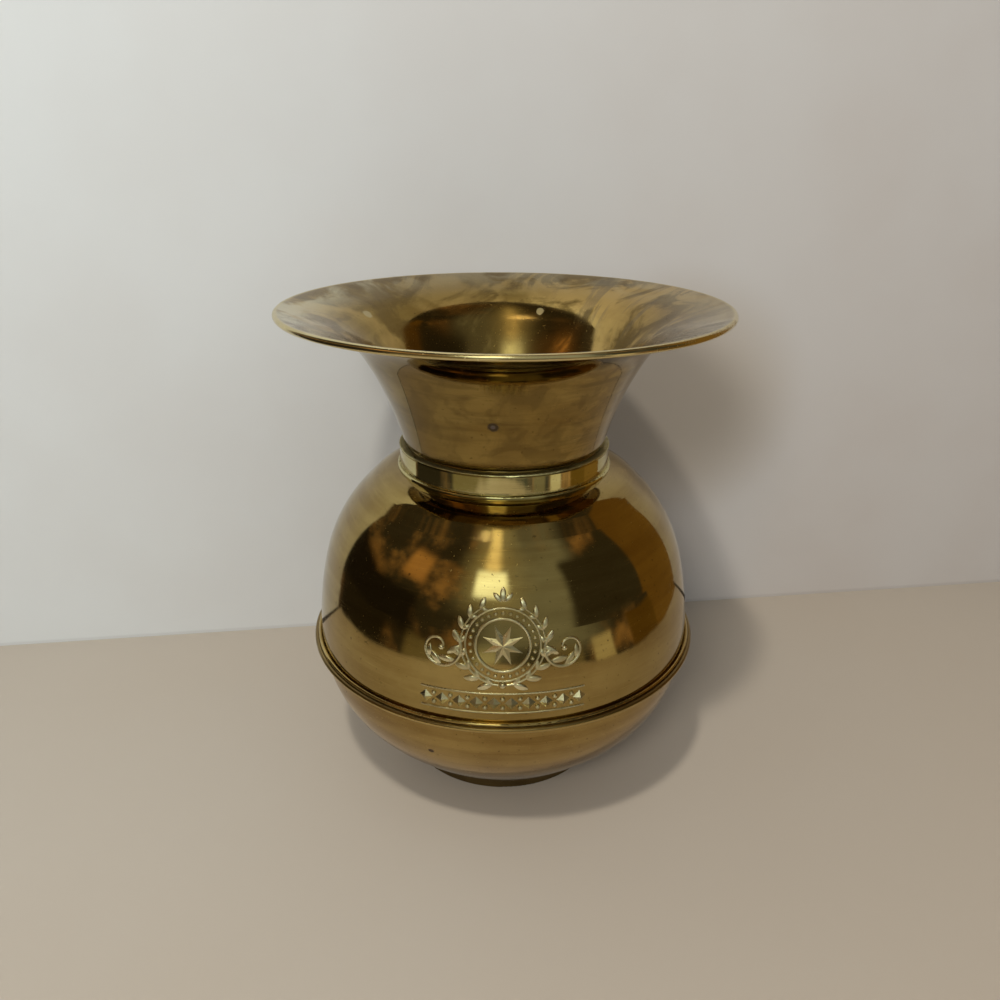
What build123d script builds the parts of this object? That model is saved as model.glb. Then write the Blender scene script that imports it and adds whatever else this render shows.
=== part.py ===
"""Brass spittoon: a loose trumpet mouth standing in the collar of a round, weighted body.

Every piece is turned about the Z axis. The foot stands on Z = 0 and the decorated front faces -Y.
Lengths are in millimetres and angles in degrees.

Sheet pieces are drawn as a section: the outer skin is a run of tangent arcs and straights that
starts at the foot end, and the wall lies on its left, towards the inside of the vessel.
"""

import os
from math import acos, copysign, cos, degrees, radians, sin

from build123d import *

# The whole vessel
SHEET = 0.8            # wall of the spun brass
BELLY_R = 98.0         # outside of the body at the seam between its two shells
NECK_R = 49.3          # outside of the neck that carries the collar
RIM_R = 108.0          # outside of the rolled rim
FIT = 0.1              # gap, on the radius, between pieces soldered together

# Foot: a turned ring that holds the base plate in a rebate
FOOT_SET_IN = 1.58     # its outside stands this far inside the bowl's corner
FOOT_WALL = 4.0
FOOT_H = 6.4
FOOT_EDGE = 0.6        # rounding of the edge that meets the table
REBATE = 1.5           # width of the rebate
REBATE_DEPTH = 0.8     # how far the plate is set up from the table
PLATE_H = 1.0
PLATE_EDGE = 0.3

# Bowl: the lower shell, with its bottom pushed up to make room for the weight
PUNT_SET_IN = 2.5      # its wall stands this far inside the foot's bore
PUNT_H = 15.0          # underside of the pushed-up floor, above the table
PUNT_BEND = 4.0
PUNT_HEEL = 1.6        # bend from the punt's wall to the flat that sits on the foot
BOWL_CORNER = 3.0
BOWL_CORNER_TURN = 42.2
BOWL_FLARE = 460.0     # nearly straight stretch above the foot
BOWL_FLARE_TURN = 4.0
BOWL_BELLY = 66.2      # full curve up to the seam
LAP_H = 6.0            # height of the lip that slides up inside the shoulder
LAP_FIT = 0.15
LAP_BEND = 1.2
WEIGHT_FIT = 0.3

# Shoulder: the upper shell, which runs into the neck
SHOULDER_BELLY = 170.0
SHOULDER_BELLY_TURN = 14.8
SHOULDER_TOP_TURN = 30.2   # its radius takes up what is left between belly and neck
CONE_LENGTH = 8.0
NECK_BEND = 22.7       # tighter bend to the nearly level seat of the collar
NECK_BEND_TURN = 41.9
NECK_COVE = 3.0
NECK_RISE = 9.0        # straight neck above the cove

# Belt: a double reeded strip over the seam
LOWER_REED = 1.3       # radius of the reed
LOWER_REED_OUT = 2.5   # its centre beyond the belly
LOWER_REED_DROP = 1.6  # and below the seam
UPPER_REED = 1.0
UPPER_REED_OUT = 1.0
UPPER_REED_RISE = 0.2
BELT_SKIRT = 0.9       # depth of the strip's flat underside below the lower reed's centre

# Collar: a turned ring round the neck, with a flat ledge on top
COLLAR_OUT = 3.4       # its waist beyond the neck
COLLAR_LIP = 0.2       # rounded top edge, proud of the waist
COLLAR_FOOT_OUT = 1.4  # foot bead, proud of the waist
COLLAR_BEAD = 1.0      # rounding of the bead
COLLAR_FOOT_DROP = 0.6 # straight below the rounding
COLLAR_EDGE = 0.7
COLLAR_SETBACK = 0.6   # ledge below the top of the neck

# Mouth: a trumpet with a straight spigot that drops into the neck
SPIGOT_DEPTH = 18.0
SPIGOT_GAP = 0.3       # all round, inside the neck
SEAT_DROP = 0.8        # the tuck starts this far below the neck's edge
TUCK = 1.2
TUCK_TURN = 90.0
THROAT_LEAN = 13.8     # from the vertical, just above the collar
THROAT = 155.0
THROAT_TURN = 17.6
ROLL_R = 1.5           # rolled rim, wired
WIRE_FIT = 0.1


def trace(start, heading, steps, inset=0):
    """Edges of a line from start; a step is (radius, turn), left turns positive, or (length, 0).

    inset moves the whole line that far to its left. The last point comes back as well.
    """
    edges = []
    here = Vector(*start) + Vector(0, inset).rotate(Axis.Z, heading)
    for size, turn in steps:
        along = Vector(1, 0).rotate(Axis.Z, heading)
        if turn:
            edges.append(JernArc(here, along, size - copysign(inset, turn), turn))
            here = edges[-1].end_of_arc
        else:
            edges.append(Line(here, here + along * size))
            here = here + along * size
        heading += turn
    return edges, here


def shift(heading, steps):
    """How far a run of steps goes, as a vector."""
    return trace((0, 0), heading, steps)[1]


def sheet_section(start, heading, steps, round_end=False):
    """Section of sheet metal whose outer skin follows the steps."""
    skin, skin_end = trace(start, heading, steps)
    back, back_end = trace(start, heading, steps, SHEET)
    if round_end:
        last = heading + sum(turn for _, turn in steps)
        crown = (skin_end + back_end) / 2 + Vector(SHEET / 2, 0).rotate(Axis.Z, last)
        cap = ThreePointArc(skin_end, crown, back_end)
    else:
        cap = Line(skin_end, back_end)
    edges = skin + [cap] + back
    if start[0] > 0:
        edges.append(Line(skin[0] @ 0, back[0] @ 0))
    else:
        edges.append(Line(Vector(*start), Vector(*start) + Vector(0, SHEET)))
    return make_face(edges)


def turned(section):
    """A section drawn as (radius, height), turned once round the Z axis."""
    return revolve(Plane.XZ * section, Axis.Z)


# Outer skin of the bowl, from the flat on the foot up to the seam, and what follows from it
BOWL_SIDE = [
    (BOWL_CORNER, BOWL_CORNER_TURN),
    (BOWL_FLARE, BOWL_FLARE_TURN),
    (BOWL_BELLY, 90 - BOWL_CORNER_TURN - BOWL_FLARE_TURN),
]
BOWL_HEEL_R = BELLY_R - shift(0, BOWL_SIDE).X
SEAM_Z = FOOT_H + shift(0, BOWL_SIDE).Y

# What stands on and inside the bowl's heel
FOOT_R = BOWL_HEEL_R - FOOT_SET_IN
FOOT_BORE_R = FOOT_R - FOOT_WALL
REBATE_R = FOOT_BORE_R + REBATE
PUNT_R = FOOT_BORE_R - PUNT_SET_IN

# Outer skin of the shoulder. Its top arc is as large as the way from belly to neck needs.
CONE_HEADING = 90 + SHOULDER_BELLY_TURN + SHOULDER_TOP_TURN
SEAT_HEADING = CONE_HEADING + NECK_BEND_TURN
BELLY_STEP = (SHOULDER_BELLY, SHOULDER_BELLY_TURN)
NECK_STEPS = [(CONE_LENGTH, 0), (NECK_BEND, NECK_BEND_TURN), (NECK_COVE, 90 - SEAT_HEADING)]
TOP_REACH = NECK_R - BELLY_R - shift(90, [BELLY_STEP]).X - shift(CONE_HEADING, NECK_STEPS).X
TOP_ARC = TOP_REACH / shift(90 + SHOULDER_BELLY_TURN, [(1, SHOULDER_TOP_TURN)]).X
SHOULDER_ARCS = [BELLY_STEP, (TOP_ARC, SHOULDER_TOP_TURN)]
CONE_START = Vector(BELLY_R, SEAM_Z) + shift(90, SHOULDER_ARCS)
BEND_START = CONE_START + shift(CONE_HEADING, NECK_STEPS[:1])
BEND_CENTRE = BEND_START + Vector(0, NECK_BEND).rotate(Axis.Z, CONE_HEADING)
NECK_FOOT_Z = CONE_START.Y + shift(CONE_HEADING, NECK_STEPS).Y
NECK_TOP_Z = NECK_FOOT_Z + NECK_RISE


def foot_ring():
    """Turned ring under the bowl; the rebate inside holds the base plate."""
    plate_top = REBATE_DEPTH + PLATE_H
    section = make_face(
        Polyline(
            (REBATE_R, 0), (FOOT_R, 0), (FOOT_R, FOOT_H), (FOOT_BORE_R, FOOT_H),
            (FOOT_BORE_R, plate_top), (REBATE_R, plate_top), close=True,
        )
    )
    outside_edge = section.vertices().group_by(Axis.Y)[0].sort_by(Axis.X)[-1]
    return turned(fillet(outside_edge, FOOT_EDGE))


def base_plate():
    """Disc that closes the foot and carries the weight."""
    plate = Pos(0, 0, REBATE_DEPTH) * Cylinder(
        REBATE_R - FIT, PLATE_H, align=(Align.CENTER, Align.CENTER, Align.MIN)
    )
    return chamfer(plate.edges().group_by(Axis.Z)[0], PLATE_EDGE)


def base_weight():
    """Cast disc in the hollow under the bowl, rounded to clear the bend of the punt."""
    plate_top = REBATE_DEPTH + PLATE_H
    disc = Pos(0, 0, plate_top) * Cylinder(
        PUNT_R - WEIGHT_FIT, PUNT_H - WEIGHT_FIT - plate_top, align=(Align.CENTER, Align.CENTER, Align.MIN)
    )
    return fillet(disc.edges().group_by(Axis.Z)[-1], PUNT_BEND)


def lower_bowl():
    """Spun lower shell: pushed-up floor, flat on the foot, full belly, and a joggled lip."""
    lip_shift = SHEET + LAP_FIT
    lip_turn = degrees(acos(1 - lip_shift / (2 * LAP_BEND)))
    heel_r = PUNT_R + PUNT_HEEL
    steps = [
        (PUNT_R - PUNT_BEND, 0),
        (PUNT_BEND, -90),
        (PUNT_H - PUNT_BEND - PUNT_HEEL - FOOT_H, 0),
        (PUNT_HEEL, 90),
        (BOWL_HEEL_R - heel_r, 0),
        *BOWL_SIDE,
        (LAP_BEND, lip_turn),
        (LAP_BEND, -lip_turn),
        (LAP_H, 0),
    ]
    joggle = shift(90, steps[-3:-1]).Y
    belly = sheet_section((0, PUNT_H), 0, steps[:-3])
    # The joggle is taken out of the top of the belly, so that the shoulder lands on the seam
    lip_start = (BELLY_R, SEAM_Z - joggle)
    above = Pos(BELLY_R, SEAM_Z - joggle) * Rectangle(
        BOWL_BELLY, BOWL_BELLY, align=(Align.CENTER, Align.MIN)
    )
    return turned(belly - above + sheet_section(lip_start, 90, steps[-3:]))


def shoulder():
    """Spun upper shell: belly, shoulder and neck, with a rounded edge at the top."""
    steps = [*SHOULDER_ARCS, *NECK_STEPS, (NECK_RISE - SHEET / 2, 0)]
    return turned(sheet_section((BELLY_R, SEAM_Z), 90, steps, round_end=True))


def belt():
    """Strip with two reeds, the lower one larger, soldered over the seam."""
    lower = Vector(BELLY_R + LOWER_REED_OUT, SEAM_Z - LOWER_REED_DROP)
    upper = Vector(BELLY_R + UPPER_REED_OUT, SEAM_Z + UPPER_REED_RISE)
    backing = make_face(
        Polyline(
            (BELLY_R, lower.Y - BELT_SKIRT), (lower.X, lower.Y - BELT_SKIRT), lower, upper,
            (BELLY_R, upper.Y), close=True,
        )
    )
    reeds = Pos(*lower) * Circle(LOWER_REED) + Pos(*upper) * Circle(UPPER_REED)
    behind = Pos(BELLY_R, SEAM_Z) * Rectangle(
        2 * LOWER_REED_OUT, 2 * LAP_H, align=(Align.MAX, Align.CENTER)
    )
    return turned(backing + reeds - behind)


def collar():
    """Turned ring on the neck: foot bead on the bend, rounded lip, a slight waist and a flat ledge."""
    bore = NECK_R + FIT
    waist = NECK_R + COLLAR_OUT
    lip = waist + COLLAR_LIP
    foot = waist + COLLAR_FOOT_OUT
    top = NECK_TOP_Z - COLLAR_SETBACK
    # The underside follows the shoulder's bend from the bead's edge to the neck's cove
    lean = degrees(acos((foot - BEND_CENTRE.X) / NECK_BEND))
    edge = BEND_CENTRE + Vector(NECK_BEND, 0).rotate(Axis.Z, lean)
    seat, seat_end = trace(edge, 90 + lean, [(NECK_BEND, SEAT_HEADING - 90 - lean)])
    bead_low = edge.Y + COLLAR_FOOT_DROP
    bead_high = bead_low + COLLAR_BEAD
    outside = [
        *seat,
        Polyline(seat_end, (bore, NECK_FOOT_Z), (bore, top), (lip - COLLAR_EDGE, top)),
        RadiusArc((lip - COLLAR_EDGE, top), (lip, top - COLLAR_EDGE), COLLAR_EDGE),
        Polyline(
            (lip, top - COLLAR_EDGE), (waist, top - 2 * COLLAR_EDGE), (waist, bead_high),
            (foot - COLLAR_BEAD, bead_high),
        ),
        RadiusArc((foot - COLLAR_BEAD, bead_high), (foot, bead_low), COLLAR_BEAD),
        Line((foot, bead_low), edge),
    ]
    return turned(make_face(outside))


def mouth_steps():
    """Outer skin of the mouth from the end of the spigot; the flare ends level at the rim."""
    flare_turn = 90 - THROAT_LEAN - THROAT_TURN
    steps = [
        (SPIGOT_DEPTH, 0),
        (TUCK, -TUCK_TURN),
        (TUCK, TUCK_TURN - THROAT_LEAN),
        (THROAT, -THROAT_TURN),
    ]
    spigot_r = NECK_R - SHEET - SPIGOT_GAP
    flare_reach = RIM_R - ROLL_R - spigot_r - shift(90, steps).X
    return [*steps, (flare_reach / sin(radians(flare_turn)), -flare_turn)]


SPIGOT_START = (NECK_R - SHEET - SPIGOT_GAP, NECK_TOP_Z - SEAT_DROP - SPIGOT_DEPTH)
RIM_CENTRE = Vector(RIM_R - ROLL_R, SPIGOT_START[1] + shift(90, mouth_steps()).Y + SHEET - ROLL_R)


def funnel():
    """Spun mouth: spigot, tuck that rests on the neck, trumpet and the rolled rim."""
    roll = Pos(*RIM_CENTRE) * (Circle(ROLL_R) - Circle(ROLL_R - SHEET))
    return turned(sheet_section(SPIGOT_START, 90, mouth_steps()) + roll)


def rim_wire():
    """Wire that the rim is rolled round."""
    return turned(Pos(*RIM_CENTRE) * Circle(ROLL_R - SHEET - WIRE_FIT))


PIECES = [
    foot_ring, base_plate, base_weight, lower_bowl, shoulder, belt, collar, funnel, rim_wire,
]

os.makedirs("parts", exist_ok=True)
for piece in PIECES:
    solid = piece()
    export_step(solid, f"parts/{piece.__name__}.step")
    size = solid.bounding_box()
    print(f"{piece.__name__:12} {solid.volume:9.0f} mm3, Z {size.min.Z:6.2f} to {size.max.Z:6.2f}")
print(f"seam at {SEAM_Z:.2f}, neck {NECK_FOOT_Z:.2f} to {NECK_TOP_Z:.2f}, rim centre {RIM_CENTRE.Y:.2f}")
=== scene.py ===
"""Brass spittoon dressed for the camera. Metres, Z up, the decorated front faces -Y."""

import math

import bmesh
import bpy
from mathutils import Matrix, Vector


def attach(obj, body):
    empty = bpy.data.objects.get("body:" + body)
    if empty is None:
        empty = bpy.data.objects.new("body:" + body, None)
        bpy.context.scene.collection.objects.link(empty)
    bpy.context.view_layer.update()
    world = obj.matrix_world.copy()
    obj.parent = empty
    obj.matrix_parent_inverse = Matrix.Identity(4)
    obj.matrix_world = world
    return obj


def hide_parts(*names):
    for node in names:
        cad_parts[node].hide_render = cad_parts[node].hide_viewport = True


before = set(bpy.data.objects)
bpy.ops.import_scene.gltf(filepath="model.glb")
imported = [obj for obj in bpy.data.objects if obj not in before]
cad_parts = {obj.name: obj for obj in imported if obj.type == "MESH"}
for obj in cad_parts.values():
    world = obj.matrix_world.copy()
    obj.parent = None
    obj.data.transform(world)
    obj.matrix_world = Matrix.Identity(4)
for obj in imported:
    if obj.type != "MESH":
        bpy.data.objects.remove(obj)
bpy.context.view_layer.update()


# The camera stands half a metre in front of the vessel and looks down at it by 22.7 degrees.
# Its place and tilt were fitted to the rim, collar, belt and foot as they show in the photograph.
CAMERA_AT = (0.0, -0.4095, 0.3141)
CAMERA_TILT = 0.3961
CAMERA_YAW = -0.0049
CAMERA_ROLL = 0.0047
SENSOR_WIDE, LENS_LONG = 36.0, 30.6
SEEN_FROM, SEEN_TO = 0.01, 50.0

lens = bpy.data.cameras.new("camera")
lens.sensor_width, lens.lens = SENSOR_WIDE, LENS_LONG
lens.clip_start, lens.clip_end = SEEN_FROM, SEEN_TO
camera = bpy.data.objects.new("camera", lens)
bpy.context.scene.collection.objects.link(camera)
camera.matrix_world = (
    Matrix.Translation(CAMERA_AT)
    @ Matrix.Rotation(-CAMERA_YAW, 4, "Z")
    @ Matrix.Rotation(math.pi / 2 - CAMERA_TILT, 4, "X")
    @ Matrix.Rotation(CAMERA_ROLL, 4, "Z")
)
bpy.context.scene.camera = camera
bpy.context.scene.view_settings.view_transform = "Standard"


# A table of pale paper in front of a pale wall that runs slightly away to the right. Both are
# short: past their edges the polished brass sees a dim brown room, as the camera would not.
WALL_COLOUR = (0.69, 0.73, 0.73)
# Painted shade: the darker warm tone the wall takes towards the right and the bottom
WALL_SHADED_WARM = (0.52, 0.48, 0.44)
WALL_BEHIND = 0.128
WALL_TURN = math.radians(8.0)
WALL_REACH = 0.335
WALL_HIGH = 1.5
# Painted warm shade the brass throws on the wall: how far across, how high, and its half width
SHADE_COLOUR = (0.38, 0.31, 0.22)
SHADE_ACROSS, SHADE_UP, SHADE_HALF = 0.115, 0.155, 0.085
# Painted shade in the corner at the wall's foot, twice as high where the brass mirrors it
CORNER_SHADE_COLOUR = (0.05, 0.04, 0.03)
CORNER_SHADE_LOW, CORNER_SHADE_HIGH = 0.0012, 0.0030
TABLE_COLOUR = (0.465, 0.42, 0.355)
# Painted shade: the darker warm tone the table takes towards the right and the front
TABLE_SHADED_WARM = (0.43, 0.36, 0.28)
TABLE_FRONT = -0.55
# Half the width and depth of the paper that the brass sees
TABLE_ROUND = (0.36, 0.52)
STAGE_HALF = 1.5

# The middle of the vessel, which the room is seen from
VESSEL_MIDDLE = (0.0, 0.0, 0.16)
# What the polished brass sees of the room, as bearings from the vessel in degrees: 0 is behind it,
# 90 to its right and 180 to the front. Each patch has its middle and half width, its lowest and
# highest height over the horizon, how soft its edge is, and its colour.
ROOM_DARK = (0.050, 0.042, 0.030)
ROOM_BROWN = (0.42, 0.25, 0.11)
ROOM_PATCHES = [
    (158, 34, -12, 66, 0.16, (0.30, 0.31, 0.28)),
    (-146, 19, -40, -10, 0.04, (0.24, 0.20, 0.11)),
    (-171, 6, -40, -8, 0.05, (0.58, 0.58, 0.45)),
    (165, 9, -40, -8, 0.04, (0.09, 0.09, 0.07)),
    (144, 6, -40, -10, 0.03, (0.22, 0.19, 0.12)),
    (126, 6, -40, -12, 0.02, (0.62, 0.55, 0.38)),
    (-96, 30, -12, 14, 0.06, (0.020, 0.016, 0.012)),
    (-95, 18, -40, -9, 0.04, (0.030, 0.024, 0.015)),
    (84, 24, -40, -9, 0.02, (0.15, 0.085, 0.016)),
    (112, 26, -4, 42, 0.05, (0.055, 0.048, 0.034)),
    (66, 22, -40, 46, 0.015, (0.20, 0.112, 0.026)),
    (-118, 9, 22, 40, 0.06, (0.62, 0.34, 0.13)),
    (-172, 18, 15, 89, 0.24, (0.52, 0.49, 0.34)),
    (-172, 6, 41, 89, 0.07, (1.9, 1.7, 1.1)),
    (-172, 11, 23, 42, 0.04, (2.5, 2.9, 2.9)),
]


class Shade:
    """A shader socket in its tree. Arithmetic on it adds Math nodes."""

    def __init__(self, tree, out=None):
        self.tree, self.out = tree, out

    def node(self, kind, settings=None, inputs=None, out=0):
        """Adds a node: its settings first, then the value or the link of each socket."""
        made = self.tree.nodes.new(kind)
        for key, value in (settings or {}).items():
            if key == "stops":
                while len(made.color_ramp.elements) < len(value):
                    made.color_ramp.elements.new(0.5)
                for element, (place, colour) in zip(made.color_ramp.elements, value):
                    element.position, element.color = place, (*colour, 1)
            else:
                setattr(made, key, value)
        for key, value in (inputs or {}).items():
            if isinstance(value, Shade):
                self.tree.links.new(value.out, made.inputs[key])
            elif isinstance(value, tuple) and made.inputs[key].type == "RGBA":
                made.inputs[key].default_value = (*value, 1)
            else:
                made.inputs[key].default_value = value
        return Shade(self.tree, made.outputs[out] if made.outputs else None)

    def other(self, out):
        """Another socket of the same node."""
        return Shade(self.tree, self.out.node.outputs[out])

    def maths(self, operation, *values):
        return self.node("ShaderNodeMath", {"operation": operation}, dict(enumerate(values)))

    def __add__(self, value):
        return self.maths("ADD", self, value)

    def __sub__(self, value):
        return self.maths("SUBTRACT", self, value)

    def __rsub__(self, value):
        return self.maths("SUBTRACT", value, self)

    def __mul__(self, value):
        return self.maths("MULTIPLY", self, value)

    def __truediv__(self, value):
        return self.maths("DIVIDE", self, value)

    def __abs__(self):
        return self.maths("ABSOLUTE", self)

    __radd__ = __add__
    __rmul__ = __mul__

    def greater(self, value):
        return self.maths("MAXIMUM", self, value)

    def step(self, low, high):
        """0 at low and 1 at high, smooth between and level beyond."""
        return self.node(
            "ShaderNodeMapRange", {"interpolation_type": "SMOOTHSTEP"},
            {"Value": self, "From Min": low, "From Max": high},
        )

    def mix(self, first, second):
        """First colour where this mask is 0, second where it is 1."""
        return self.node(
            "ShaderNodeMix", {"data_type": "RGBA"}, {0: self, 6: first, 7: second}, out=2
        )

    def noise(self, place, scale, detail=3.0, kind="3D", roughness=0.5, warp=0.0):
        """Soft noise, 0.3 to 0.7, on a vector or, when kind is 1D, a number. warp curls it."""
        return self.node(
            "ShaderNodeTexNoise", {"noise_dimensions": kind},
            {"W" if kind == "1D" else "Vector": place, "Scale": scale, "Detail": detail,
             "Roughness": roughness, "Distortion": warp},
        )

    def vector(self, x, y, z):
        """The vector of three numbers."""
        return self.node("ShaderNodeCombineXYZ", {}, {0: x, 1: y, 2: z})

    def split(self):
        """The three numbers of a vector."""
        parts = self.node("ShaderNodeSeparateXYZ", {}, {0: self})
        return parts, parts.other(1), parts.other(2)


def material(name):
    made = bpy.data.materials.new(name)
    made.use_nodes = True
    made.node_tree.nodes.clear()
    return made, Shade(made.node_tree)


def room_seen_in_brass(tree, toward):
    """The dim room in the direction toward, a vector of length 1."""
    clutter = tree.noise(toward, 2.6, 7.0, roughness=0.65)
    colour = clutter.step(0.47, 0.70).mix(ROOM_DARK, ROOM_BROWN)
    x, y, z = toward.split()
    level = tree.maths("SQRT", x * x + y * y) + 0.001
    for bearing, half, low, high, soft, tone in ROOM_PATCHES:
        a = math.radians(bearing)
        aside = abs(x * math.cos(a) - y * math.sin(a)) / level
        ahead = x * math.sin(a) + y * math.cos(a)
        edge, low, high = (math.sin(math.radians(v)) for v in (half, low, high))
        ragged = (clutter - 0.5) * (1.4 * soft)
        shown = (1 - (aside + ragged).step(edge - soft, edge + soft)) * ahead.step(-0.05, 0.05)
        shown = shown * (z + ragged).step(low - soft, low + soft)
        shown = shown * (1 - (z + ragged).step(high - soft, high + soft))
        colour = shown.mix(colour, tone)
    return colour


def stage_piece(name, corners, paint):
    """A flat stage piece on four corners.

    paint gives its tone, and a mask of where it ends for the brass, which sees the room past that.
    """
    sheet = bmesh.new()
    sheet.faces.new([sheet.verts.new(corner) for corner in corners])
    mesh = bpy.data.meshes.new(name)
    sheet.to_mesh(mesh)
    sheet.free()
    piece = bpy.data.objects.new(name, mesh)
    bpy.context.scene.collection.objects.link(piece)
    made, tree = material(name)
    place = tree.node("ShaderNodeTexCoord").other("Object")
    tone, past = paint(place)
    glossy = tree.node("ShaderNodeLightPath").other("Is Glossy Ray")
    toward = tree.node(
        "ShaderNodeVectorMath", {"operation": "SUBTRACT"}, {0: place, 1: VESSEL_MIDDLE}
    )
    toward = tree.node("ShaderNodeVectorMath", {"operation": "NORMALIZE"}, {0: toward})
    beyond = tree.node("ShaderNodeEmission", {}, {"Color": room_seen_in_brass(tree, toward)})
    surface = tree.node("ShaderNodeBsdfPrincipled", {}, {"Base Color": tone, "Roughness": 0.9})
    surface = tree.node("ShaderNodeMixShader", {}, {0: glossy * past, 1: surface, 2: beyond})
    # From behind the piece isn't there, so that it hides the vessel from no side
    back = tree.node("ShaderNodeNewGeometry").other("Backfacing")
    clear = tree.node("ShaderNodeBsdfTransparent")
    surface = tree.node("ShaderNodeMixShader", {}, {0: back, 1: surface, 2: clear})
    tree.node("ShaderNodeOutputMaterial", {}, {"Surface": surface})
    mesh.materials.append(made)


def table_paint(place):
    x, y, z = place.split()
    cloud = place.noise(place, 5.0, 4.0).step(0.3, 0.7)
    # Darker and warmer towards the right and the front: painted shade, with random clouds
    warm = x.step(-0.25, 0.30) * 0.5 + (1 - y.step(-0.30, -0.06)) * 0.35 + cloud * 0.15
    u, v = (x + 0.01) / TABLE_ROUND[0], y / TABLE_ROUND[1]
    ragged = place.noise(place, 14.0, 4.0) * 0.24 - 0.12
    return warm.mix(TABLE_COLOUR, TABLE_SHADED_WARM), (u * u + v * v + ragged).step(0.93, 1.07)


def wall_paint(place):
    x, y, z = place.split()
    glossy = place.node("ShaderNodeLightPath").other("Is Glossy Ray")
    cloud = place.noise(place, 9.0, 4.0).step(0.3, 0.7)
    # Darker and warmer towards the right and the bottom: painted shade, with random clouds
    warm = x.step(-0.34, 0.30) * 0.72 + (1 - z.step(0.05, 0.55)) * 0.16 + cloud * 0.12
    # Painted shade along the corner of wall and table, faint to the camera, dark in the brass
    corner_shade = 1 - (z - CORNER_SHADE_HIGH * glossy).step(CORNER_SHADE_LOW, CORNER_SHADE_HIGH)
    # Painted shade: a warm dark patch where the brass shades the wall
    across, up = (x - SHADE_ACROSS) / SHADE_HALF, (z - SHADE_UP) / SHADE_HALF
    shade = 1 - (across * across + up * up).step(0.0, 1.3)
    tone = (shade * 0.6).mix(warm.mix(WALL_COLOUR, WALL_SHADED_WARM), SHADE_COLOUR)
    tone = (corner_shade * (0.12 + 0.85 * glossy)).mix(tone, CORNER_SHADE_COLOUR)
    return tone, abs(x - 0.01).step(WALL_REACH, WALL_REACH + 0.015)


def along_wall(x):
    return WALL_BEHIND + x * math.tan(WALL_TURN)


wall_foot = [(x, along_wall(x), 0) for x in (-STAGE_HALF, STAGE_HALF)]
wall_top = [(x, y, WALL_HIGH) for x, y, _ in wall_foot]
table_edge = [(x, TABLE_FRONT, 0) for x in (-STAGE_HALF, STAGE_HALF)]
stage_piece("table", table_edge + wall_foot[::-1], table_paint)
stage_piece("wall", wall_foot + wall_top[::-1], wall_paint)

# Brass sees the room all round, everything else a plain soft light
SOFT_LIGHT = (0.40, 0.41, 0.42)
world = bpy.data.worlds.new("room")
bpy.context.scene.world = world
world.use_nodes = True
world.node_tree.nodes.clear()
tree = Shade(world.node_tree)
toward = tree.node("ShaderNodeTexCoord").other("Generated")
rays = tree.node("ShaderNodeLightPath")
sky = rays.other("Is Glossy Ray").mix(SOFT_LIGHT, room_seen_in_brass(tree, toward))
sky = rays.other("Is Camera Ray").mix(sky, WALL_COLOUR)
background = tree.node("ShaderNodeBackground", {}, {"Color": sky})
tree.node("ShaderNodeOutputWorld", {}, {"Surface": background})


# A wide lamp far in front gives the shadow on the wall. A small one hangs over the vessel, and
# the brass mirrors only the bulb in it.
LIT_AT = Vector((0, 0, 0.12))
CEILING_AT = (-0.21, -0.55, 1.30)


def lamp(name, place, size, power, colour, shines):
    """A soft square lamp that faces the vessel. Brass mirrors it only where shines is True."""
    light = bpy.data.lights.new(name, "AREA")
    light.size, light.energy, light.color = size, power, colour
    held = bpy.data.objects.new(name, light)
    held.location = place
    held.rotation_euler = (LIT_AT - Vector(place)).to_track_quat("-Z", "Y").to_euler()
    held.visible_glossy = shines
    bpy.context.scene.collection.objects.link(held)


lamp("front_lamp", (-0.50, -1.50, 1.10), 0.42, 12.0, (1.0, 0.97, 0.93), False)
lamp("ceiling_lamp", CEILING_AT, 0.09, 6.5, (1.0, 0.965, 0.91), False)
lamp("bulb", CEILING_AT, 0.035, 0.9, (1.0, 0.86, 0.62), True)


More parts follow.
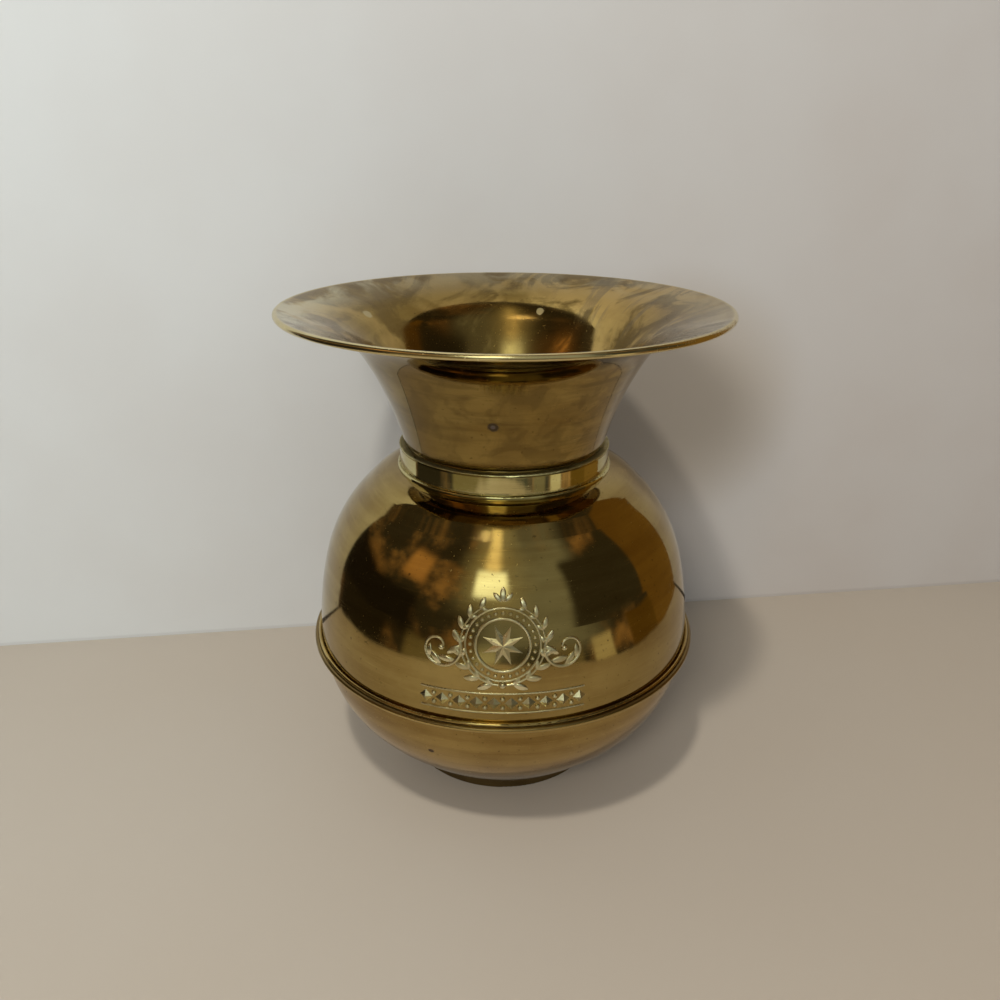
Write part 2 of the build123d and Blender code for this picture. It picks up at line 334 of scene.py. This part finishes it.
# The foot is a turned brass ring, soldered under the bowl, and darker than the bowl.
# A sheet disc closes it and holds the cast weight that keeps the wide mouth from tipping it.
def brass(name, light, deep, roughness, slope=1.0, blotch=22.0, wear=0.5, more=None):
    """Turned brass: patina in blotches, streaks round the axis, lathe lines, scratches and spots.

    slope is 1 where the skin leans out as it rises and -1 where it leans in. wear is the share of
    streaks in the patina, and more adds what this piece alone has.
    """
    made, tree = material(name)
    place = tree.node("ShaderNodeTexCoord").other("Object")
    x, y, z = place.split()
    reach = tree.maths("SQRT", x * x + y * y)
    lathe = z + slope * reach
    band = tree.vector(x * 11.0, y * 11.0, lathe * 95.0)
    streak = tree.noise(band, 1.0, 6.0, roughness=0.6).step(0.36, 0.66)
    cloud = tree.noise(place, blotch, 6.0, roughness=0.6).step(0.36, 0.64)
    hair = tree.vector(x * 60.0, y * 60.0, lathe * 2400.0)
    scratch = tree.noise(hair, 1.0, 3.0).step(0.60, 0.72)
    speck = tree.noise(place, 520.0, 2.0).step(0.68, 0.74)
    fleck = tree.noise(place, 760.0, 1.0).step(0.70, 0.76)
    fine = tree.noise(lathe, 2600.0, 2.0, "1D")
    wave = tree.noise(place, 30.0, 2.0)
    worn = cloud * (1 - wear) + streak * wear
    colour = worn.mix(light, deep)
    colour = (scratch * 0.30).mix(colour, tuple(min(1.0, 1.35 * c) for c in light))
    colour = (speck * 0.60).mix(colour, tuple(0.35 * c for c in deep))
    rough = roughness * (0.6 + 0.9 * worn) + 0.07 * scratch + 0.12 * speck + 0.20 * fleck
    if more:
        colour, rough = more(place, z, reach, colour, rough)
    height = fine * 1.5e-6 + wave * 6e-5 + scratch * 2e-6
    normal = tree.node("ShaderNodeBump", {}, {"Strength": 1.0, "Distance": 1.0, "Height": height})
    surface = tree.node(
        "ShaderNodeBsdfPrincipled", {},
        {"Base Color": colour, "Metallic": 1.0, "Roughness": rough, "Anisotropic": 0.4,
         "Normal": normal},
    )
    tree.node("ShaderNodeOutputMaterial", {}, {"Surface": surface})
    return made


def finish_node(node, made):
    """Gives a CAD node its finish."""
    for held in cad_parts[node].material_slots:
        held.material = made


def spot(place, centre, size):
    """1 inside a round spot on the metal, 0 outside it."""
    away = place.node(
        "ShaderNodeVectorMath", {"operation": "DISTANCE"}, {0: place, 1: centre}, out=1
    )
    ragged = away + place.noise(place, 600.0, 2.0) * (0.5 * size)
    return 1 - ragged.step(0.95 * size, 1.35 * size)


finish_node("foot_ring", brass("foot_brass", (0.26, 0.19, 0.08), (0.12, 0.085, 0.035), 0.30))
finish_node("base_plate", brass("base_brass", (0.42, 0.32, 0.14), (0.20, 0.15, 0.065), 0.35))
finish_node("base_weight", brass("weight_iron", (0.16, 0.16, 0.17), (0.09, 0.085, 0.08), 0.7))


# The lower shell is spun from one disc. Its belly has gone brown in streaks that run round it,
# and a dark blemish sits low on its front.
BLEMISH_AT = (-0.0334, -0.0877, 0.0518)


def bowl_wear(place, z, reach, colour, rough):
    blemish = spot(place, BLEMISH_AT, 0.0016)
    colour = blemish.mix(colour, (0.09, 0.05, 0.02))
    return colour, rough + 0.3 * blemish


finish_node(
    "lower_bowl",
    brass("bowl_brass", (0.47, 0.33, 0.115), (0.28, 0.175, 0.052), 0.13, wear=0.6, more=bowl_wear),
)


# The upper shell is spun too and keeps most of its mirror polish. It runs up into the neck,
# and its front carries the stamped ornament, where the polish is duller.
STAMPED_UP, STAMPED_HALF_WIDE, STAMPED_HALF_HIGH = 0.108, 0.046, 0.030


def shoulder_wear(place, z, reach, colour, rough):
    x, y, up = place.split()
    across, high = x / STAMPED_HALF_WIDE, (z - STAMPED_UP) / STAMPED_HALF_HIGH
    stamped = (1 - (across * across + high * high).step(0.55, 1.15)) * (1 - y.step(-0.06, -0.03))
    dull = stamped * place.noise(place, 60.0, 4.0).step(0.35, 0.7)
    return (dull * 0.30).mix(colour, (0.24, 0.19, 0.075)), rough + 0.06 * dull


finish_node(
    "shoulder",
    brass(
        "body_brass", (0.43, 0.32, 0.115), (0.29, 0.195, 0.060), 0.065, slope=-1.0,
        more=shoulder_wear,
    ),
)

# The ornament is raised in the sheet by a die: a star in a ring of beads inside a laurel wreath,
# with a leafy scroll on either side, and a strip of lozenges and beads below.
# The shoulder's outline over the seam: a belly arc with its turn, then the top arc
SEAM_UP = 0.07538
BELLY_R = 0.098
BELLY_ARC, BELLY_TURN = 0.170, math.radians(14.8)
TOP_ARC = 0.0759
RELIEF = 0.0007
# Faces larger than this area are flat facets, the smaller ones are shaded smooth
FACET = 1.5e-6


def on_shoulder(across, up, out):
    """Point that far round the front, up the skin from the seam, and out from it."""
    turn = min(up / BELLY_ARC, BELLY_TURN)
    reach = BELLY_R - BELLY_ARC + BELLY_ARC * math.cos(turn)
    high = SEAM_UP + BELLY_ARC * math.sin(turn)
    lean = turn
    if turn == BELLY_TURN:
        lean = BELLY_TURN + (up - BELLY_ARC * BELLY_TURN) / TOP_ARC
        reach += TOP_ARC * (math.cos(lean) - math.cos(BELLY_TURN))
        high += TOP_ARC * (math.sin(lean) - math.sin(BELLY_TURN))
    round_by = across / reach
    reach += out * math.cos(lean)
    high += out * math.sin(lean)
    return Vector((reach * math.sin(round_by), -reach * math.cos(round_by), high))


def raised_line(relief, points, width, closed=False):
    """A rounded raised line through flat points (x, y), or (x, y, share of the width)."""
    line = bpy.data.curves.new("line", "CURVE")
    line.dimensions, line.bevel_depth, line.bevel_resolution = "3D", width / 2, 2
    line.use_fill_caps = not closed
    spline = line.splines.new("POLY")
    spline.points.add(len(points) - 1)
    for point, (x, y, *share) in zip(spline.points, points):
        point.co, point.radius = (x, y, 0, 1), share[0] if share else 1
    spline.use_cyclic_u = closed
    held = bpy.data.objects.new("line", line)
    bpy.context.scene.collection.objects.link(held)
    solid = held.evaluated_get(bpy.context.evaluated_depsgraph_get())
    mesh = bpy.data.meshes.new_from_object(solid)
    relief.from_mesh(mesh)
    bpy.data.objects.remove(held)
    bpy.data.meshes.remove(mesh)
    bpy.data.curves.remove(line)


def set_down(relief, verts, at, turn=0.0):
    bmesh.ops.transform(
        relief, matrix=Matrix.Translation((*at, 0)) @ Matrix.Rotation(turn, 4, "Z"), verts=verts
    )


def leaf(relief, at, turn, length, width):
    """A pointed leaf from its stalk at the point at, with a groove along its rib."""
    made = bmesh.ops.create_uvsphere(relief, u_segments=12, v_segments=9, radius=1.0)["verts"]
    lying = Matrix.Rotation(math.pi / 2, 3, "Y")
    bmesh.ops.rotate(relief, cent=(0, 0, 0), matrix=lying, verts=made)
    for v in made:
        taper = max(0.0, 1 - v.co.x * v.co.x) ** 0.25
        groove = 0.55 + 0.45 * min(1.0, abs(v.co.y) / 0.4)
        high = 1.5 * RELIEF * v.co.z * taper * groove
        v.co = (length * (1 + v.co.x) / 2, width * v.co.y * taper / 2, high)
    set_down(relief, made, at, turn)


def bead(relief, at, size):
    made = bmesh.ops.create_icosphere(relief, subdivisions=2, radius=size / 2)["verts"]
    set_down(relief, made, at)


def pointed(relief, at, reaches, high, turn=0.0):
    """A faceted boss whose corners lie at the reaches, one after the other, round the point at."""
    made = bmesh.ops.create_cone(
        relief, segments=len(reaches), radius1=1.0, radius2=0.0, depth=high, cap_ends=True
    )["verts"]
    foot = [v for v in made if v.co.z < 0]
    foot.sort(key=lambda v: math.atan2(v.co.y, v.co.x))
    for v, reach in zip(foot, reaches):
        v.co.x, v.co.y = v.co.x * reach, v.co.y * reach
    bmesh.ops.translate(relief, vec=(0, 0, high / 2 - 0.0001), verts=made)
    set_down(relief, made, at, turn)


def stamped(name, relief, centre_up):
    """Lays flat relief on the shoulder and makes it a piece of the vessel."""
    for v in relief.verts:
        v.co = on_shoulder(v.co.x, v.co.y + centre_up, v.co.z)
    bmesh.ops.recalc_face_normals(relief, faces=relief.faces)
    for face in relief.faces:
        face.smooth = face.calc_area() < FACET
    mesh = bpy.data.meshes.new(name)
    relief.to_mesh(mesh)
    relief.free()
    mesh.materials.append(stamped_brass)
    piece = bpy.data.objects.new(name, mesh)
    bpy.context.scene.collection.objects.link(piece)
    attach(piece, "vessel")


def round_front(reach, a):
    return reach * math.cos(a), reach * math.sin(a)


stamped_brass = brass(
    "stamped_brass", (0.80, 0.74, 0.48), (0.58, 0.50, 0.27), 0.30, slope=-1.0, blotch=120.0
)

MEDALLION_UP = 0.0385
LINE = 0.0015
PEAK = 0.0016
STAR = (0.0104, 0.0044)
STAR_POINTS = 8
RING_R, OUTER_RING_R = 0.0120, 0.0166
RING_SIDES = 72
BEADS_R, BEAD, BEADS = 0.0144, 0.0018, 28
WREATH_R, WREATH_LEAVES = 0.0186, 8
SPRIG_FROM, SPRIG_TURN, SPRIG_PARTS = 0.10, 2.62, 40
LEAF_FROM, LEAF_TURN = 0.24, 2.34
LEAF_LONG, LEAF_LOSS = 0.0074, 0.0016
SCROLL_AT = (0.0284, -0.0030)
SCROLL_R, SCROLL_EYE = 0.0098, 0.0011
SCROLL_FROM, SCROLL_TURN, SCROLL_PARTS = 0.9, 2.25 * math.pi, 60
# Where the scroll's leaves stand, how far they lean out from it, and their lengths
SCROLL_LEAVES = ((6, 1.0, 0.0078), (13, 0.9, 0.0086), (20, 0.8, 0.0080), (27, 0.7, 0.0066))
# The lean and length of the three leaves on top
CREST_LEAVES = ((0.75, 0.0054), (-0.75, 0.0054), (0.0, 0.0066))
CREST_UP = 0.0192
KNOT = 0.0034

medallion = bmesh.new()
pointed(medallion, (0, 0), STAR * STAR_POINTS, PEAK, math.pi / 2)
for reach, width in ((RING_R, LINE), (OUTER_RING_R, 0.7 * LINE)):
    ring = [round_front(reach, 2 * math.pi * i / RING_SIDES) for i in range(RING_SIDES)]
    raised_line(medallion, ring, width, closed=True)
for i in range(BEADS):
    bead(medallion, round_front(BEADS_R, 2 * math.pi * i / BEADS), BEAD)
for side in (-1, 1):
    sprig = []
    for i in range(SPRIG_PARTS + 1):
        t = i / SPRIG_PARTS
        a = -math.pi / 2 + side * (SPRIG_FROM + SPRIG_TURN * t)
        sprig.append((*round_front(WREATH_R, a), 1 - 0.5 * t))
    raised_line(medallion, sprig, 0.8 * LINE)
    for i in range(WREATH_LEAVES):
        t = i / (WREATH_LEAVES - 1)
        a = -math.pi / 2 + side * (LEAF_FROM + LEAF_TURN * t)
        ahead = a + side * math.pi / 2
        size = LEAF_LONG - LEAF_LOSS * t
        leaf(medallion, round_front(WREATH_R, a), ahead - side * 0.62, size, 0.44 * size)
        leaf(medallion, round_front(WREATH_R, a), ahead + side * 0.50, 0.62 * size, 0.26 * size)
    # The scroll leaves the wreath low, swings out and rolls up into itself
    scroll = []
    for i in range(SCROLL_PARTS + 1):
        t = i / SCROLL_PARTS
        reach = SCROLL_R * (1 - t) ** 0.75 + SCROLL_EYE
        across, up = round_front(reach, math.pi + SCROLL_FROM - t * SCROLL_TURN)
        scroll.append((side * (SCROLL_AT[0] + across), SCROLL_AT[1] - up, 1.2 - 0.5 * t))
    raised_line(medallion, scroll, LINE)
    bead(medallion, scroll[-1][:2], 0.0029)
    for part, lift, size in SCROLL_LEAVES:
        (x0, y0, _), (x1, y1, _) = scroll[part], scroll[part + 1]
        leaf(medallion, (x0, y0), math.atan2(y1 - y0, x1 - x0) + side * lift, size, 0.38 * size)
for lean, size in CREST_LEAVES:
    leaf(medallion, (-0.0008 * lean, CREST_UP), math.pi / 2 + lean, size, 0.42 * size)
bead(medallion, (0, -WREATH_R), KNOT)
stamped("stamped_medallion", medallion, MEDALLION_UP)

STRIP_UP = 0.0108
STRIP_PITCH, STRIP_COUNT = 0.0078, 10
LOZENGE = (0.0031, 0.0033)
STRIP_BEAD, STRIP_BEAD_UP = 0.0023, 0.0022
BORDER_UP, BORDER_PARTS = 0.0048, 30
strip = bmesh.new()
for i in range(STRIP_COUNT):
    x = (i - (STRIP_COUNT - 1) / 2) * STRIP_PITCH
    pointed(strip, (x, 0), LOZENGE * 2, PEAK)
    if i:
        for y in (-STRIP_BEAD_UP, STRIP_BEAD_UP):
            bead(strip, (x - STRIP_PITCH / 2, y), STRIP_BEAD)
half = (STRIP_COUNT - 0.4) / 2 * STRIP_PITCH
for y in (-BORDER_UP, BORDER_UP):
    border = [(x * half / BORDER_PARTS, y) for x in range(-BORDER_PARTS, BORDER_PARTS + 1)]
    raised_line(strip, border, 0.6 * LINE)
stamped("stamped_strip", strip, STRIP_UP)


# The belt is a strip with two reeds, rolled to shape and soldered over the seam of the shells.
# The groove between the reeds is darker and rougher.
GROOVE_UP = 0.0747


def belt_groove(place, z, reach, colour, rough):
    low = 1 - abs(z - GROOVE_UP).step(0.0002, 0.0009)
    return (low * 0.7).mix(colour, (0.14, 0.09, 0.035)), rough + 0.2 * low


finish_node(
    "belt", brass("belt_brass", (0.58, 0.44, 0.17), (0.36, 0.245, 0.08), 0.11, more=belt_groove)
)


# The collar is a turned ring, soldered round the neck. It is paler and brighter than the body,
# with green-grey tarnish on its flat ledge and in the corner at its foot.
LEDGE_UP = 0.1767
CORNER_UP = 0.1671


def collar_wear(place, z, reach, colour, rough):
    blotches = place.noise(place, 160.0, 4.0)
    ledge = z.step(LEDGE_UP - 0.0006, LEDGE_UP) * blotches.step(0.22, 0.5)
    corner = z.step(CORNER_UP - 0.0007, CORNER_UP - 0.0001)
    corner = corner * (1 - z.step(CORNER_UP + 0.0001, CORNER_UP + 0.0013))
    corner = corner * blotches.step(0.35, 0.6)
    tarnish = ledge.greater(corner * 0.6)
    return (tarnish * 0.85).mix(colour, (0.52, 0.46, 0.25)), rough + 0.55 * tarnish


finish_node(
    "collar",
    brass("collar_brass", (0.66, 0.60, 0.30), (0.50, 0.42, 0.18), 0.055, more=collar_wear),
)


# The mouth is spun from one disc and drops loose into the neck. Its rim is rolled over a steel
# wire. The inside is the most tarnished: gold and brown clouds, with a few round spots.
DARK_RING_AT = (-0.0049, -0.0574, 0.2011)
PALE_SPOT_AT = (0.0195, 0.0693, 0.2284)
PALE_BLOTCH_AT = (-0.0706, 0.0313, 0.2337)


def inner_tarnish_and_sheen(place, reach, inside, clouds, colour):
    """Gold and brown clouds, a pale lip on the left, and grey stains down the right side."""
    x, y, z = place.split()
    gold = inside * place.noise(place, 17.0, 5.0, warp=0.8).step(0.50, 0.60) * (1 - clouds)
    colour = (gold * 0.6).mix(colour, (0.66, 0.46, 0.16))
    brown = inside * y.step(0.02, 0.06) * (1 - 0.5 * x.step(-0.03, 0.02))
    colour = (brown * 0.42).mix(colour, (0.18, 0.115, 0.032))
    # Painted sheen: the right back of the inside is paler gold
    bright = inside * x.step(0.0, 0.05) * y.step(0.0, 0.05) * (1 - clouds)
    colour = (bright * 0.45).mix(colour, (0.80, 0.55, 0.20))
    lip = inside * reach.step(0.080, 0.103)
    lip = lip * place.noise(place, 34.0, 5.0, warp=1.0).step(0.38, 0.56)
    colour = (lip * (0.72 - 0.47 * x.step(-0.095, -0.045))).mix(colour, (0.78, 0.72, 0.50))
    rays = place.vector(x / reach * 9.0, y / reach * 9.0, reach * 14.0)
    stain = inside * place.noise(rays, 1.0, 5.0, roughness=0.6, warp=0.4).step(0.53, 0.60)
    stain = stain * reach.step(0.060, 0.080) * x.step(0.015, 0.065)
    return (stain * 0.6).mix(colour, (0.215, 0.175, 0.115)), stain


def outer_tarnish(place, outside, colour):
    """Level smears, a darker left side, and dirt over the collar."""
    x, y, z = place.split()
    level = place.vector(x * 12.0, y * 12.0, z * 90.0)
    smear = outside * place.noise(level, 1.0, 5.0, roughness=0.6, warp=0.5).step(0.52, 0.62)
    colour = (smear * 0.45).mix(colour, (0.13, 0.085, 0.026))
    dull = outside * (1 - x.step(-0.045, 0.02)) * 0.55
    colour = dull.mix(colour, (0.15, 0.10, 0.032))
    dirt = outside * (1 - z.step(0.1780, 0.1835)) * place.noise(place, 130.0, 5.0).step(0.47, 0.60)
    return (dirt * 0.5).mix(colour, (0.12, 0.080, 0.026)), dirt


def mouth_wear_and_light(place, z, reach, colour, rough):
    # The inside faces up, the outside down
    inside = place.node("ShaderNodeTexCoord").other("Normal").split()[2].step(-0.10, 0.10)
    clouds = place.noise(place, 24.0, 7.0, roughness=0.62, warp=1.2).step(0.45, 0.57)
    colour = (clouds * (0.40 + 0.30 * inside)).mix(colour, (0.17, 0.110, 0.034))
    patches = place.noise(place, 62.0, 6.0, warp=0.9).step(0.51, 0.60)
    colour = (patches * 0.40).mix(colour, (0.135, 0.088, 0.026))
    colour, stain = inner_tarnish_and_sheen(place, reach, inside, clouds, colour)
    colour, dirt = outer_tarnish(place, 1 - inside, colour)
    # Painted shade: the inside darkens down towards the throat
    throat = inside * (1 - z.step(0.188, 0.232))
    colour = (throat * 0.45).mix(colour, (0.16, 0.105, 0.035))
    # Painted highlight: the outer half of the rolled rim is paler all round
    rim = reach.step(0.1050, 0.1066)
    colour = (rim * 0.8).mix(colour, (0.74, 0.62, 0.32))
    ring, middle = spot(place, DARK_RING_AT, 0.0026), spot(place, DARK_RING_AT, 0.0012)
    pale, blotch = spot(place, PALE_SPOT_AT, 0.0024), spot(place, PALE_BLOTCH_AT, 0.0030)
    colour = (ring * 0.85).mix(colour, (0.075, 0.060, 0.045))
    colour = (middle * 0.8).mix(colour, (0.20, 0.17, 0.16))
    colour = pale.greater(blotch * 0.7).mix(colour, (0.60, 0.52, 0.30))
    rough = rough + inside * (0.02 + 0.08 * clouds + 0.10 * stain) + 0.04 * rim + 0.12 * dirt
    return colour, rough + 0.25 * ring + 0.2 * pale


# Its outline goes up from the spigot: lengths with no turn, or radii with their turns in degrees
SHEET = 0.0008
MOUTH_START = (0.0482, 0.15861)
SPIGOT_STEP = (0.018, 0)
SEAT_STEPS = [(0.0012, -90), (0.0012, 76.2)]
FLARE_STEPS = [(0.155, -17.6), (0.0354, -36.6), (0.155, -8.0)]
RIM_CENTRE = (0.10648, 0.24289)
RIM_ROLL = 0.0015
ROLL_PARTS = 31
MOUTH_SIDES = 256
# The turn between two points, on wide arcs and on the seat's tight ones
WIDE_PART, TIGHT_PART = math.radians(1.5), math.radians(11.0)


def skin(start, steps, aside):
    """Points (reach, height) of the outline that starts upward, set aside to its left."""
    reach, high = start
    lean = math.pi / 2
    points = [(reach - aside, high)]
    for size, turn in steps:
        turn = math.radians(turn)
        count = max(1, math.ceil(abs(turn) / (WIDE_PART if size > RIM_ROLL else TIGHT_PART)))
        for _ in range(count):
            run = 2 * size * math.sin(abs(turn) / count / 2) if turn else size
            lean += turn / count / 2
            reach, high = reach + run * math.cos(lean), high + run * math.sin(lean)
            lean += turn / count / 2
            points.append((reach - aside * math.sin(lean), high + aside * math.cos(lean)))
    return points, lean


def turned(name, section, sides):
    """The closed outline (reach, height) spun into a solid round the axis."""
    made = bmesh.new()
    points = [made.verts.new((0, -reach, high)) for reach, high in section]
    edges = [made.edges.new((a, b)) for a, b in zip(points, points[1:] + points[:1])]
    bmesh.ops.spin(
        made, geom=points + edges, cent=(0, 0, 0), axis=(0, 0, 1), angle=2 * math.pi,
        steps=sides, use_merge=True,
    )
    bmesh.ops.recalc_face_normals(made, faces=made.faces)
    for face in made.faces:
        face.smooth = True
    mesh = bpy.data.meshes.new(name)
    made.to_mesh(mesh)
    made.free()
    piece = bpy.data.objects.new(name, mesh)
    bpy.context.scene.collection.objects.link(piece)
    return piece


mouth_steps = [SPIGOT_STEP, *SEAT_STEPS, *FLARE_STEPS]
outside, lean = skin(MOUTH_START, mouth_steps, 0)
inside, lean = skin(MOUTH_START, mouth_steps, SHEET)
# The rim rolls on from where the outer skin meets it, under and round to the end of the inner skin
meets = math.pi - math.asin((RIM_ROLL - SHEET) / RIM_ROLL)
roll = []
for i in range(ROLL_PARTS):
    a = lean + meets + (2.5 * math.pi - meets) * i / ROLL_PARTS
    roll.append((RIM_CENTRE[0] + RIM_ROLL * math.cos(a), RIM_CENTRE[1] + RIM_ROLL * math.sin(a)))
before = [point for point in outside if math.dist(point, RIM_CENTRE) > 1.05 * RIM_ROLL]
mouth = turned("mouth_spun", before + roll + inside[::-1], MOUTH_SIDES)
mouth.data.materials.append(
    brass(
        "mouth_brass", (0.41, 0.29, 0.088), (0.26, 0.165, 0.042), 0.060, wear=0.55, more=mouth_wear_and_light
    )
)
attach(mouth, "mouth")
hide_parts("funnel")


# The steel wire that stiffens the rim. The roll hides it all round.
finish_node("rim_wire", brass("rim_steel", (0.45, 0.45, 0.46), (0.3, 0.29, 0.28), 0.35))
